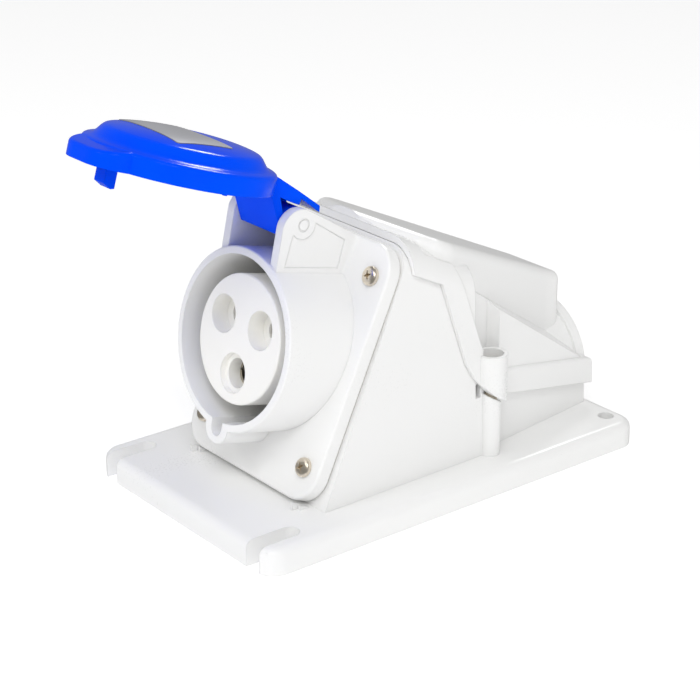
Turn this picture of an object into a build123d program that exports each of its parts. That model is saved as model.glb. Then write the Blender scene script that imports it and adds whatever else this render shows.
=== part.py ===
from build123d import *
import os
from math import cos, radians, sin, sqrt, tan

# Surface mounted industrial wall socket, three pole, 16 A.
# Frame: +X to the right of somebody who faces the socket, +Y to the rear (cable end), +Z away from the wall.
# Origin: centre of the wall face. Millimetres.

# wall plate
PLATE_W = 87.0
PLATE_L = 142.2
PLATE_T = 7.8
PLATE_CORNER_R = 6.5
PLATE_EDGE_R = 2.6
PLATE_SKIN = 2.6
FLOOR_T = 2.6
SLOT_X = 35.85
SLOT_W = 5.7
SLOT_REACH = 15.6
REAR_HOLE_X = 35.0
REAR_HOLE_Y = 65.1
REAR_HOLE_R = 2.4
FIXING_BOSS_WALL = 2.0

# tilted front: plane of the flange's face, whose foot is a line on the plate's top
FRONT_TILT = 25.04
FRONT_FOOT_Y = -49.4
FLANGE_W = 61.4
FLANGE_V0 = 2.1
FLANGE_V1 = 78.6
FLANGE_T = 4.2
FLANGE_CORNER_R = 9.0
FLANGE_EDGE_R = 0.9
TOE_RIB_X = (25.6, 27.1)
TOE_RIB_Y = (-50.1, -48.4)
TOE_RIB_W = 1.1
TOE_RIB_TOP = 10.0
TOE_PAIR_SHIFT = 49.7
FLANGE_SCREW_X = 24.4
FLANGE_SCREW_V = (12.1, 69.1)
GASKET_T = 0.8

# shroud, tilted by its own angle
SHROUD_TILT = 13.68
SHROUD_RIM_Y = -51.1
SHROUD_RIM_Z = 51.7
SHROUD_R = 26.5
SHROUD_BORE_R = 24.2
SHROUD_DEPTH = 40.0
SHROUD_REAR_R = 25.6
KEYWAY_HALF = 2.4
KEYWAY_R = 28.7
KEYWAY_BOSS_HALF = 5.2
KEYWAY_BOSS_R = 30.8

# hinge, in the shroud's frame: height above the socket's axis, distance behind the rim
HINGE_UP = 36.6
HINGE_BACK = 7.7
PIN_R = 1.7
PIN_FIT = 0.06
PIN_END = 0.15
EAR_IN = 10.0
EAR_T = 3.0
EAR_ROUND_UP = 35.0
EAR_ROUND_BACK = 6.8
EAR_ROUND_R = 6.15
EAR_PAD_R = 4.0
EAR_SINK = 0.45
EAR_FOOT_R = 1.2
PIN_SKIN = 0.8
PIN_MARK_R = 1.9
PIN_MARK_W = 0.4

# contact insert
INSERT_R = 18.76
INSERT_BACK = 2.4
INSERT_LEN = 24.0
PIN_CIRCLE_R = 10.1
LIVE_MOUTH_R = 5.6
LIVE_MOUTH_DEPTH = 5.6
LIVE_HOLE_R = 3.0
EARTH_MOUTH_R = 5.8
EARTH_MOUTH_DEPTH = 1.8
EARTH_HOLE_R = 4.3
SLEEVE_SEAT = 9.0
LIVE_SLEEVE_R = 3.9
LIVE_SLEEVE_BORE = 2.55
EARTH_SLEEVE_R = 5.0
EARTH_SLEEVE_BORE = 3.55
SLEEVE_LEN = 26.0
CARRIER_T = 6.0

# base body: plan at the plate's top, walls lean in going up
CASE_HALF_FRONT = 33.4
CASE_HALF_COLUMN = 32.4
CASE_HALF_BEHIND = 29.5
CASE_HALF_REAR = 22.8
CASE_STEP_Y = 19.0
CASE_REAR_Y = 67.5
CASE_DRAFT = 2.1
CASE_TOP_V = 79.7
CASE_TOP_R = 8.5
CASE_WALL = 2.4
COLUMN_X = 32.3
COLUMN_Y = 18.8
COLUMN_R = 3.0
COLUMN_TOP_Z = 30.0
COLUMN_GAP = 0.2

# seam between base and cover, seen from the side: (y, z)
SEAM = [
    (-11.1, 70.0),
    (-0.8, 64.9),
    (8.0, 38.8),
    (11.1, 33.2),
    (16.4, 27.4),
    (21.0, 24.6),
    (67.5, 14.4),
]
SEAM_LAP = 2.4
SEAM_GAP = 1.0
SEAM_OPEN = (0.5, 0.4)

# small opening in the base's side wall, in front of each column
NOTCH_Y = (13.3, 15.2)
NOTCH_Z = (26.6, 31.0)

# wiring cover
BAND_PROUD = 1.3
SKIRT_PROUD = 1.7
SKIRT_EDGE_R = 1.2
BAND_SHIFT = (6.5, 4.5)
BAND_RISE = 2.3
BAND_TOP_V = CASE_TOP_V + BAND_RISE
HOOD_FRONT_Y = -11.0
HOOD_FRONT_Z = 82.9
HOOD_SLOPE = 24.25
HOOD_HALF_FRONT = 28.1
HOOD_HALF_REAR = 14.0
HOOD_NARROW_Y = 58.0
HOOD_REAR_Y = 65.8
HOOD_REAR_HALF = 12.6
HOOD_EDGE_R = 3.0
HOOD_CORNERS = ((HOOD_REAR_Y, 4.0), (HOOD_NARROW_Y, 10.0), (6.0, 8.0), (1.5, 5.0), (-3.2, 5.0))
POCKET_FRONT_Y = 13.6
POCKET_REAR_Y = 24.6
POCKET_SIDE = (26.4, 24.6)
SHOULDER_HALF_FRONT = 28.9
SHOULDER_HALF_REAR = 22.6
SHOULDER_Z = 77.8
SHOULDER_DROP_Y = 0.722
SHOULDER_DROP_X = 0.308
SKIRT_BAND = 8.6
BOSS_R = 4.7
BOSS_BORE_R = 3.5
BOSS_TOP_Z = 40.0
BOSS_FOOT_Z = 18.0
BOSS_SEAT_Z = 32.0
ARCH_Z = 17.4
ARCH_R = 19.9
ARCH_COLLAR_R = 20.65
ARCH_FRONT_Y = 50.0
ARCH_REAR_Y = 69.8
ARCH_COLLAR_T = 3.4
COVER_WALL = 2.2
ENTRY_R = 12.5
ENTRY_GROOVE = 0.8

# lid, drawn in its own frame: reach from the pin towards the tip, height above the pin to the outside
LID_OPEN = 93.25
LID_CENTRE = 36.6
LID_R = 26.6
LID_RIM = 8.1
LID_LEDGE = 13.9
LID_WALL = 1.4
LOBE_HALF = 12.6
LOBE_REACH = 68.0
LOBE_TOP = 12.3
LOBE_SLOPE = 0.16
LOBE_EDGE_R = 1.2
LOBE_R = 9.5
LID_EDGE_H = 12.4
DOME_R = 24.7
DOME_SHOULDER_R = 20.5
DOME_SHOULDER = 17.4
DOME_TOP = 18.8
BRACKET_HALF = 9.6
BRACKET_RIB = 2.4
KNUCKLE_R = 4.2
TOOTH_REACH = (56.7, 60.2)
TOOTH_HALF = 2.4
TOOTH_TIP = 1.9
TOOTH_ROOM = 0.25
LABEL_W = 29.0
LABEL_H = 18.0
LABEL_REACH = 39.6
LABEL_T = 0.25
SEAL_BORE = 23.9
SEAL_FACE = 8.05
SHUT_GAP = 0.3
NUB_X = 25.6
NUB_REACH = 38.9
NUB_R = 0.7
NUB_GAP = 0.1

# screws
THREAD_GAP = 0.05
FLANGE_SCREW_R = 2.0
FLANGE_HEAD_R = 2.8
FLANGE_HEAD_H = 1.9
FLANGE_SCREW_LEN = 14.0
COVER_SCREW_R = 1.9
COVER_HEAD_R = 3.1
COVER_HEAD_H = 2.4
COVER_SCREW_LEN = 22.0
CROSS_W = 0.8
CROSS_L = 3.0
CARRIER_SCREW_R = 1.5
CARRIER_HEAD_R = 2.6

FRONT = Plane(
    origin=(0, FRONT_FOOT_Y, PLATE_T),
    x_dir=(1, 0, 0),
    z_dir=(0, -cos(radians(FRONT_TILT)), sin(radians(FRONT_TILT))),
)
RIM = Plane(
    origin=(0, SHROUD_RIM_Y, SHROUD_RIM_Z),
    x_dir=(1, 0, 0),
    z_dir=(0, -cos(radians(SHROUD_TILT)), sin(radians(SHROUD_TILT))),
)
SIDE = Plane.YZ
BIG = 200.0


def rim_point(up, back):
    """World (y, z) of a point given by its height above the socket's axis and its distance behind the rim."""
    a = radians(SHROUD_TILT)
    return (
        SHROUD_RIM_Y + up * sin(a) + back * cos(a),
        SHROUD_RIM_Z + up * cos(a) - back * sin(a),
    )


def front_point(v, depth):
    """World (y, z) of a point given by its height on the flange's face and its depth behind it."""
    a = radians(FRONT_TILT)
    return (
        FRONT_FOOT_Y + v * sin(a) + depth * cos(a),
        PLATE_T + v * cos(a) - depth * sin(a),
    )


HINGE_Y, HINGE_Z = rim_point(HINGE_UP, HINGE_BACK)


def lid_plane():
    """The lid's frame at its photographed opening: local x across, y from the pin to the tip, z outward."""
    lean = radians(SHROUD_TILT + LID_OPEN - 90)
    return Plane(origin=(0, HINGE_Y, HINGE_Z), x_dir=(-1, 0, 0), z_dir=(0, sin(lean), cos(lean)))


LID = lid_plane()


def slab(plane, v_half, z0, z1):
    """A wide block between two heights over a plane."""
    return plane * Pos(0, 0, (z0 + z1) / 2) * Box(2 * v_half, 2 * v_half, z1 - z0)


def across(points, half, plane=SIDE):
    """A closed outline in the side view, drawn out to both sides by half."""
    return extrude(plane * make_face(Polyline(*points, close=True)), half, both=True)


def cylinder_on(plane, x, y, r, z0, z1):
    """A cylinder along a plane's normal between two heights."""
    return plane * Pos(x, y, (z0 + z1) / 2) * Cylinder(r, z1 - z0)


def mirrored(shape):
    """A shape and its mirror image on the other side of the plane of symmetry."""
    return shape + mirror(shape, about=Plane.YZ)


def seam_points(shift):
    """The seam moved by shift, run on upward at the front and backward at the rear."""
    dy, dz = shift
    pts = [(y + dy, z + dz) for y, z in SEAM]
    slope = (SEAM[-1][1] - SEAM[-2][1]) / (SEAM[-1][0] - SEAM[-2][0])
    rear = (BIG, pts[-1][1] + slope * (BIG - pts[-1][0]))
    return [(pts[0][0], BIG)] + pts + [rear]


def under_seam(shift=(0.0, 0.0)):
    """Everything on the base's side of the seam."""
    return across(seam_points(shift) + [(BIG, -BIG), (-BIG, -BIG), (-BIG, BIG)], BIG)


def lap(distance):
    """A shift across the seam that lifts every run of it by about distance."""
    return (0.64 * distance, 0.77 * distance)


def prism(rows, grow, z0, z1):
    """A drafted block over a symmetrical plan given by (half width, row) pairs at the plate's top."""
    sections = []
    for z in (z0, z1):
        lean = (z - PLATE_T) * tan(radians(CASE_DRAFT))
        right = [(x + grow - lean, y) for x, y in rows]
        outline = Polyline(*right, *[(-x, y) for x, y in reversed(right)], close=True)
        sections.append(Pos(0, 0, z) * make_face(outline))
    return loft(sections, ruled=True)


def front_prism(grow, z0, z1):
    """The case's walls from the front to the step beside the columns."""
    return prism([(CASE_HALF_FRONT, -60.0), (CASE_HALF_COLUMN, CASE_STEP_Y - 2.5 + grow)], grow, z0, z1)


def rear_prism(grow, z0, z1):
    """The case's walls from the columns to the rear face, rounded at the rear corners."""
    y0 = CASE_STEP_Y - 2.5 + grow
    rows = [(CASE_HALF_COLUMN, y0 - 3.0), (CASE_HALF_COLUMN, y0), (CASE_HALF_BEHIND, y0 + 2.5)]
    return prism(rows + [(CASE_HALF_REAR, CASE_REAR_Y + grow)], grow, z0, z1)


def case_volume(grow, top_v, front_depth, z0=PLATE_T, top_r=CASE_TOP_R):
    """The whole wedge behind the flange: drafted walls, flat top square to the flange, rounded top corners."""
    body = front_prism(grow, z0, 95.0)
    body -= slab(FRONT, BIG, -front_depth, BIG)
    y_top, z_top = front_point(top_v, 0)
    top = Plane(origin=(0, y_top, z_top), x_dir=(1, 0, 0), z_dir=FRONT.y_dir)
    body -= slab(top, BIG, 0, BIG)
    body = fillet([e for e in body.edges() if long_top_edge(e, top)], top_r)
    return body + rear_prism(grow, z0, 56.0)


def long_top_edge(edge, top):
    """True for the two long edges between the flat top and the side walls."""
    a, b = edge @ 0, edge @ 1
    flush = all(abs((p - top.origin).dot(top.z_dir)) < 0.02 for p in (a, b))
    return flush and abs(a.Y - b.Y) > 15


def plate():
    """Wall plate with rounded edge, open slots in front and round holes behind, hollow underneath."""
    outline = RectangleRounded(PLATE_W, PLATE_L, PLATE_CORNER_R)
    body = extrude(outline, PLATE_T)
    body = fillet(body.edges().group_by(Axis.Z)[-1], PLATE_EDGE_R)
    body = body - plate_hollow() + fixing_bosses()
    return body - fixing_cuts()


def plate_hollow():
    """The open underside between the plate's rim and the case, left solid under the case."""
    outer = RectangleRounded(PLATE_W - 5.0, PLATE_L - 5.0, PLATE_CORNER_R - 2.5)
    hollow = extrude(outer, PLATE_T - PLATE_SKIN)
    keep = Pos(0, 9.3, 0) * extrude(Rectangle(2 * CASE_HALF_FRONT - 1, 118.0), PLATE_T)
    return hollow - keep


def fixing_bosses():
    """Thick places round the slots and the rear holes."""
    wide = SLOT_W / 2 + FIXING_BOSS_WALL
    slot_y = -PLATE_L / 2 + SLOT_REACH / 2 + 1.5
    slot = Pos(SLOT_X, slot_y, PLATE_T / 2 - 0.5) * Box(2 * wide, SLOT_REACH, PLATE_T - 1)
    hole = Pos(REAR_HOLE_X, REAR_HOLE_Y - 1.0, PLATE_T / 2 - 0.5) * Cylinder(REAR_HOLE_R + 1.6, PLATE_T - 1)
    return mirrored(slot + hole) & extrude(RectangleRounded(PLATE_W, PLATE_L, PLATE_CORNER_R), PLATE_T)


def fixing_cuts():
    """Open-ended slots with a round end, and round holes."""
    round_y = -PLATE_L / 2 + SLOT_REACH - SLOT_W / 2
    run = Pos(SLOT_X, round_y - 20, PLATE_T / 2) * Box(SLOT_W, 40, 3 * PLATE_T)
    end = Pos(SLOT_X, round_y, PLATE_T / 2) * Cylinder(SLOT_W / 2, 3 * PLATE_T)
    hole = Pos(REAR_HOLE_X, REAR_HOLE_Y, PLATE_T / 2) * Cylinder(REAR_HOLE_R, 3 * PLATE_T)
    return mirrored(run + end + hole)


def base_shell():
    """The wedge body below the seam, hollow, with its floor flush with the wall face."""
    depth = FLANGE_T + GASKET_T
    limit = under_seam(lap(SEAM_LAP))
    outer = case_volume(0.0, CASE_TOP_V, depth) & limit
    inner = case_volume(-CASE_WALL, CASE_TOP_V - CASE_WALL, depth + 2.6, FLOOR_T, CASE_TOP_R - CASE_WALL)
    return outer, inner


def columns():
    """Round columns on the plate under the cover's screw bosses, with pilot holes."""
    z0 = PLATE_T / 2
    low = (Align.CENTER, Align.CENTER, Align.MIN)
    column = Pos(COLUMN_X, COLUMN_Y, z0) * Cylinder(COLUMN_R, COLUMN_TOP_Z - z0, align=low)
    return mirrored(column) & under_seam(lap(-COLUMN_GAP))


def column_pilots():
    """Pilot holes for the cover's screws."""
    z0 = BOSS_SEAT_Z - COVER_SCREW_LEN - 1
    pilot = Pos(COLUMN_X, COLUMN_Y, z0) * Cylinder(
        COVER_SCREW_R + THREAD_GAP, 40, align=(Align.CENTER, Align.CENTER, Align.MIN)
    )
    return mirrored(pilot)


def flange_posts():
    """Solid posts behind the front wall, one for each flange screw."""
    depth = FLANGE_T + GASKET_T
    post = None
    for v in FLANGE_SCREW_V:
        one = cylinder_on(FRONT, FLANGE_SCREW_X, v, 4.6, -depth - 13.0, -depth)
        arm = FRONT * Pos(FLANGE_SCREW_X + 4.0, v, -depth - 6.5) * Box(8.0, 5.0, 13.0)
        post = one + arm if post is None else post + one + arm
    return mirrored(post)


def flange_pilots(r, z0, z1):
    """Holes on the four flange screws' axes."""
    hole = None
    for v in FLANGE_SCREW_V:
        one = cylinder_on(FRONT, FLANGE_SCREW_X, v, r, z0, z1)
        hole = one if hole is None else hole + one
    return mirrored(hole)


def toe_ribs():
    """Two pairs of short upright ribs on the plate under the flange's lower edge, the inner one set back."""
    ribs = None
    for x, y in zip(TOE_RIB_X, TOE_RIB_Y):
        for shift in (0, -TOE_PAIR_SHIFT):
            z = (PLATE_T - 0.5 + TOE_RIB_TOP) / 2
            one = Pos(x + shift, y + 1.8, z) * Box(TOE_RIB_W, 3.6, TOE_RIB_TOP - PLATE_T + 0.5)
            ribs = one if ribs is None else ribs + one
    y0, z0 = front_point(FLANGE_V0 - 0.3, 0)
    under = Plane(origin=(0, y0, z0), x_dir=(1, 0, 0), z_dir=FRONT.y_dir)
    return ribs - slab(under, BIG, 0, 10)


def wall_notches():
    """Small openings in the side walls just under the seam, in front of the columns."""
    y, z = sum(NOTCH_Y) / 2, sum(NOTCH_Z) / 2
    cut = Pos(CASE_HALF_COLUMN - 1.5, y, z) * Box(8.0, NOTCH_Y[1] - NOTCH_Y[0], NOTCH_Z[1] - NOTCH_Z[0])
    return mirrored(cut)


def base_housing():
    """Plate, hollow wedge body, screw columns and flange posts in one moulding."""
    outer, inner = base_shell()
    body = plate() + outer
    body -= inner
    posts = (flange_posts() & case_volume(-1.0, CASE_TOP_V - 1.0, FLANGE_T + GASKET_T)) & under_seam()
    body += posts
    body += columns() + toe_ribs()
    body -= wall_notches()
    body -= cylinder_on(RIM, 0, 0, SHROUD_REAR_R + 0.6, -SHROUD_DEPTH, 0)
    body -= flange_pilots(FLANGE_SCREW_R + THREAD_GAP, -FLANGE_SCREW_LEN - 3.0, 0)
    body -= column_pilots()
    return body


def hood_half(y):
    """Half width of the hood at a row."""
    if y <= 6.0:
        return HOOD_HALF_FRONT
    if y >= HOOD_NARROW_Y:
        t = (y - HOOD_NARROW_Y) / (HOOD_REAR_Y - HOOD_NARROW_Y)
        return HOOD_HALF_REAR + t * (HOOD_REAR_HALF - HOOD_HALF_REAR)
    t = (y - 6.0) / (HOOD_NARROW_Y - 6.0)
    return HOOD_HALF_FRONT + t * (HOOD_HALF_REAR - HOOD_HALF_FRONT)


def hood_plan(shrink):
    """Plan of the hood: bowed front, sides drawn in to the rear."""
    right = [(6.0, -10.2), (15.0, -7.4), (23.4, -3.2), (27.4, 1.5)]
    right += [(hood_half(y), y) for y in (6.0, HOOD_NARROW_Y, HOOD_REAR_Y)]
    right = [(x - shrink, y + shrink if y < 5 else y) for x, y in right[:-1]]
    right += [(HOOD_REAR_HALF - shrink, HOOD_REAR_Y - shrink)]
    return right + [(-x, y) for x, y in reversed(right)]


def hood_top(drop):
    """Plane of the hood's flat top, lowered by drop."""
    a = radians(HOOD_SLOPE)
    return Plane(origin=(0, HOOD_FRONT_Y, HOOD_FRONT_Z - drop), x_dir=(1, 0, 0), z_dir=(0, sin(a), cos(a)))


def hood(shrink):
    """The long raised hood that falls to the rear, its corners and top edge rounded outside."""
    base = make_face(Polyline(*hood_plan(shrink), close=True))
    if shrink:
        return extrude(Pos(0, 0, ARCH_Z) * base, 75) - slab(hood_top(shrink), BIG, 0, BIG)
    for row, radius in HOOD_CORNERS:
        base = fillet([v for v in base.vertices() if abs(v.Y - row) < 0.01 and abs(v.X) > 7], radius)
    body = extrude(Pos(0, 0, ARCH_Z) * base, 75) - slab(hood_top(0.0), BIG, 0, BIG)
    return fillet([e for e in body.edges() if on_hood_top(e, 0.0) and (e @ 0.5).Y > 7.0], HOOD_EDGE_R)


def on_hood_top(edge, drop):
    """True for edges that lie in the hood's top plane."""
    plane = hood_top(drop)
    return all(abs((edge @ t - plane.origin).dot(plane.z_dir)) < 0.02 for t in (0, 1))


def front_block(shrink):
    """The full-width block behind the flange, in front of the screw pockets."""
    body = case_volume(-0.3 - shrink, BAND_TOP_V - 0.9 - shrink, FLANGE_T, 10.0, CASE_TOP_R - shrink / 2)
    rear = POCKET_FRONT_Y - shrink
    return body & (Pos(0, rear - 100, 50) * Box(200, 200, 200))


def edge_band():
    """Raised band that follows the seam down the sides and over the top."""
    body = case_volume(BAND_PROUD, BAND_TOP_V, FLANGE_T, 10.0, CASE_TOP_R + BAND_PROUD)
    return body & under_seam(BAND_SHIFT)


def rear_skirt(shrink, proud):
    """The low skirt round the cover's rear half."""
    body = rear_prism(proud - shrink, 5.0, 60.0)
    fall = (SEAM[-1][1] - SEAM[-2][1]) / (SEAM[-1][0] - SEAM[-2][0])
    y0, z0 = SEAM[4][0], SEAM[4][1] + SKIRT_BAND - shrink
    y1, z1 = SEAM[5][0], SEAM[5][1] + SKIRT_BAND - shrink
    roof = [(y0 - 30, z0), (y0, z0), (y1, z1), (90, z1 + fall * (90 - y1))]
    body = body & across(roof + [(90, -20), (y0 - 30, -20)], BIG)
    if shrink:
        return body
    return fillet([e for e in body.edges() if on_skirt_roof(e, z1 + fall * (0 - y1), fall)], SKIRT_EDGE_R)


def on_skirt_roof(edge, z_at_zero, fall):
    """True for the edges of the skirt's long sloping roof, apart from the one across at its front."""
    ends = (edge @ 0, edge @ 1)
    on_roof = all(abs(p.Z - z_at_zero - fall * p.Y) < 0.02 for p in ends)
    return on_roof and max(p.Y for p in ends) > SEAM[5][0] + 5


def shoulder_plan(shrink):
    """Plan of the shoulder: inner faces of the screw pockets, then the block beside and behind them."""
    s = shrink
    rear = CASE_REAR_Y - s
    right = [
        (POCKET_SIDE[0] - s, POCKET_FRONT_Y - 2.0 - s),
        (POCKET_SIDE[1] - s, POCKET_REAR_Y - 1.2 + s),
        (SHOULDER_HALF_FRONT - s, POCKET_REAR_Y + s),
        (SHOULDER_HALF_REAR - s, rear),
    ]
    return right + [(-x, y) for x, y in reversed(right)]


def shoulder(shrink):
    """The lower block whose roof falls to the rear and outward on each side."""
    base = make_face(Polyline(*shoulder_plan(shrink), close=True))
    body = extrude(Pos(0, 0, 15) * base, 70)
    n = sqrt(1 + SHOULDER_DROP_X ** 2 + SHOULDER_DROP_Y ** 2)
    for side in (1, -1):
        roof = Plane(
            origin=(0, 0, SHOULDER_Z - shrink * n),
            x_dir=(1, 0, -side * SHOULDER_DROP_X),
            z_dir=(side * SHOULDER_DROP_X, SHOULDER_DROP_Y, 1),
        )
        body -= slab(roof, BIG, 0, BIG)
    return body


def arch(shrink):
    """The half-round cable end: a barrel with a collar at the rear face."""
    y_mid = (ARCH_FRONT_Y + ARCH_REAR_Y) / 2
    length = ARCH_REAR_Y - ARCH_FRONT_Y - shrink
    barrel = Pos(0, y_mid - shrink / 2, ARCH_Z) * Rot(90, 0, 0) * Cylinder(ARCH_R - shrink, length)
    if shrink:
        return barrel & (Pos(0, 0, ARCH_Z + 50 - 6) * Box(200, 200, 100))
    collar_y = ARCH_REAR_Y - ARCH_COLLAR_T / 2
    collar = Pos(0, collar_y, ARCH_Z) * Rot(90, 0, 0) * Cylinder(ARCH_COLLAR_R, ARCH_COLLAR_T)
    return (barrel + collar) & (Pos(0, 0, ARCH_Z + 50 - 2) * Box(200, 200, 100))


def cover_bosses():
    """Tubes that carry the cover's screws, standing in the pockets and ending at the seam."""
    low = (Align.CENTER, Align.CENTER, Align.MIN)
    tube = Pos(COLUMN_X, COLUMN_Y, BOSS_FOOT_Z) * Cylinder(BOSS_R, BOSS_TOP_Z - BOSS_FOOT_Z, align=low)
    return mirrored(tube) - under_seam(SEAM_OPEN)


def boss_bores():
    """Wide bore above the screw head's seat and a clearance hole below it."""
    low = (Align.CENTER, Align.CENTER, Align.MIN)
    wide = Pos(COLUMN_X, COLUMN_Y, BOSS_SEAT_Z) * Cylinder(BOSS_BORE_R, 40, align=low)
    hole = Pos(COLUMN_X, COLUMN_Y, 0) * Cylinder(COVER_SCREW_R + 0.25, 60, align=low)
    return mirrored(wide + hole)


def entry_groove():
    """Round groove on the rear face that marks the closed cable entry."""
    y0 = ARCH_REAR_Y - ENTRY_GROOVE / 2
    ring = Pos(0, y0, ARCH_Z + 4.5) * Rot(90, 0, 0) * Cylinder(ENTRY_R, ENTRY_GROOVE)
    core = Pos(0, y0, ARCH_Z + 4.5) * Rot(90, 0, 0) * Cylinder(ENTRY_R - 1.2, ENTRY_GROOVE)
    return ring - core


def wiring_cover():
    """Hood, front block, edge band, skirt, shoulder, arched end and screw bosses in one shell."""
    w = COVER_WALL
    outer = hood(0.0) + front_block(0.0) + edge_band()
    outer += rear_skirt(0.0, SKIRT_PROUD)
    outer += shoulder(0.0)
    outer += arch(0.0)
    inner = hood(w) + front_block(w) + rear_skirt(w + SKIRT_PROUD, SKIRT_PROUD)
    inner += shoulder(w)
    inner += arch(w)
    body = outer - inner - under_seam(SEAM_OPEN)
    body += cover_bosses()
    body -= boss_bores()
    body -= base_keepout()
    body -= entry_groove()
    return body


def base_keepout():
    """Room for the base's wall, which rises inside the cover's skirt."""
    return case_volume(0.15, CASE_TOP_V + 0.1, 0.0, 0.0, CASE_TOP_R) & under_seam(lap(SEAM_LAP + SEAM_GAP))


def cover_gasket():
    """Soft strip on the base's rim, pressed by the cover along the whole seam."""
    depth = FLANGE_T + GASKET_T
    ring = case_volume(-0.5, CASE_TOP_V - 0.5, depth, 0.0, CASE_TOP_R - 0.5)
    ring -= case_volume(-CASE_WALL + 0.3, CASE_TOP_V - CASE_WALL + 0.3, 0.0, -5.0, CASE_TOP_R - CASE_WALL)
    strip = ring & under_seam(lap(SEAM_LAP + SEAM_GAP))
    head = Pos(COLUMN_X, COLUMN_Y, BOSS_SEAT_Z) * Cylinder(COVER_HEAD_R + 0.3, 8.0)
    return strip - under_seam(lap(SEAM_LAP)) - column_pilots() - mirrored(head)


def flange():
    """Rounded rectangular flange with softened front edge and four screw holes."""
    v_mid = (FLANGE_V0 + FLANGE_V1) / 2
    outline = Pos(0, v_mid) * RectangleRounded(FLANGE_W, FLANGE_V1 - FLANGE_V0, FLANGE_CORNER_R)
    body = extrude(FRONT * Pos(0, 0, -FLANGE_T) * outline, FLANGE_T)
    front_edges = [e for e in body.edges() if abs((e @ 0.5 - FRONT.origin).dot(FRONT.z_dir)) < 0.01]
    return fillet(front_edges, FLANGE_EDGE_R)


def shroud():
    """Round shroud out to its rim, and its narrower tube behind the flange."""
    front = cylinder_on(RIM, 0, 0, SHROUD_R, -34.0, 0)
    front = fillet(rim_edges(front), 0.5)
    front -= slab(FRONT, BIG, -BIG, -0.5)
    rear = cylinder_on(RIM, 0, 0, SHROUD_REAR_R, -SHROUD_DEPTH, -10)
    rear -= slab(FRONT, BIG, -1.0, BIG)
    return front + rear


def rim_edges(body):
    """The edge at the rim plane."""
    return [e for e in body.edges() if abs((e @ 0.3 - RIM.origin).dot(RIM.z_dir)) < 0.01]


def keyway_boss():
    """Rounded boss under the shroud that holds the keyway."""
    width = 2 * KEYWAY_BOSS_HALF
    r = KEYWAY_BOSS_HALF - 0.4
    outline = Pos(0, -KEYWAY_BOSS_R + 8) * RectangleRounded(width, 16, r)
    body = extrude(RIM * Pos(0, 0, -34) * outline, 34)
    return body - slab(FRONT, BIG, -BIG, -0.5)


def keyway_cut():
    """The keyway itself, round bottomed."""
    r = KEYWAY_HALF
    slot = RIM * Pos(0, -KEYWAY_R + r, -9) * Cylinder(r, 20)
    mouth = RIM * Pos(0, -KEYWAY_R + r + 5, -9) * Box(2 * r, 10, 20)
    return slot + mouth


def ear_outline():
    """Side outline of a hinge ear: round over the pin, a straight back edge down to the flange's top."""
    y0, z0 = rim_point(20.0, 0.9)
    y1, z1 = rim_point(EAR_ROUND_UP, 0.65)
    yb, zb = front_point(FLANGE_V1 - 0.4, 0.6)
    yc, zc = front_point(58.0, 0.6)
    foot = make_face(Polyline((y0, z0), (y1, z1), rim_point(38.6, 12.8), (yb, zb), (yc, zc), close=True))
    cy, cz = rim_point(EAR_ROUND_UP, EAR_ROUND_BACK)
    head = Pos(cy, cz) * Circle(EAR_ROUND_R)
    top = make_face(Polyline((cy, cz), ear_tangent(cy, cz, yb, zb), (yb, zb), rim_point(30, 14), close=True))
    return foot + head + top


def ear_tangent(cy, cz, py, pz):
    """Point where a line from (py, pz) touches the ear's round top."""
    dy, dz = py - cy, pz - cz
    d = sqrt(dy * dy + dz * dz)
    along = EAR_ROUND_R / d
    side = sqrt(1 - along * along)
    uy, uz = dy / d, dz / d
    return (cy + EAR_ROUND_R * (uy * along - uz * side), cz + EAR_ROUND_R * (uz * along + uy * side))


def ears():
    """Two ears that carry the hinge pin, each with a sunk panel outside that leaves a pad round the pin."""
    outline = ear_outline()
    ear = extrude(SIDE * Pos(0, 0, EAR_IN) * outline, EAR_T)
    sunk = [rim_point(37.6, 11.4), rim_point(33.0, 23.3), rim_point(24.7, 22.7)]
    sunk += [rim_point(24.4, 3.6), rim_point(33.6, 4.5)]
    panel = extrude(SIDE * Pos(0, 0, EAR_IN + EAR_T - EAR_SINK) * make_face(Polyline(*sunk, close=True)), 1)
    pad = SIDE * Pos(HINGE_Y, HINGE_Z, EAR_IN + EAR_T) * Cylinder(EAR_PAD_R, 3)
    return mirrored(ear - (panel - pad))


def pin_bore():
    """Bore for the pin, open at the left ear and closed by a thin skin at the right one, marked by a ring."""
    outside = EAR_IN + EAR_T
    left, right = -outside - 1, outside - PIN_SKIN
    bore = SIDE * Pos(HINGE_Y, HINGE_Z, (left + right) / 2) * Cylinder(PIN_R, right - left)
    ring = SIDE * Pos(HINGE_Y, HINGE_Z, outside) * Cylinder(PIN_MARK_R, 0.5)
    return bore + (ring - SIDE * Pos(HINGE_Y, HINGE_Z, outside) * Cylinder(PIN_MARK_R - PIN_MARK_W, 0.5))


def ear_feet(body):
    """The two edges where the ears' outer faces stand on the flange."""
    def on_foot(p):
        return abs((p - FRONT.origin).dot(FRONT.z_dir)) < 0.02 and abs(abs(p.X) - EAR_IN - EAR_T) < 0.02

    return [e for e in body.edges() if all(on_foot(e @ t) for t in (0, 0.5, 1))]


def stop_web():
    """Low web that joins the ears behind the pin and stops the lid's tail."""
    yb, zb = front_point(FLANGE_V1 - 1.0, 0.6)
    ya, za = rim_point(39.2, 14.8)
    pts = [(ya, za - 1.4), (yb, zb - 0.2), (yb, zb - 4.0), (ya + 1.0, za - 4.2)]
    return across(pts, EAR_IN + 0.5)


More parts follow.
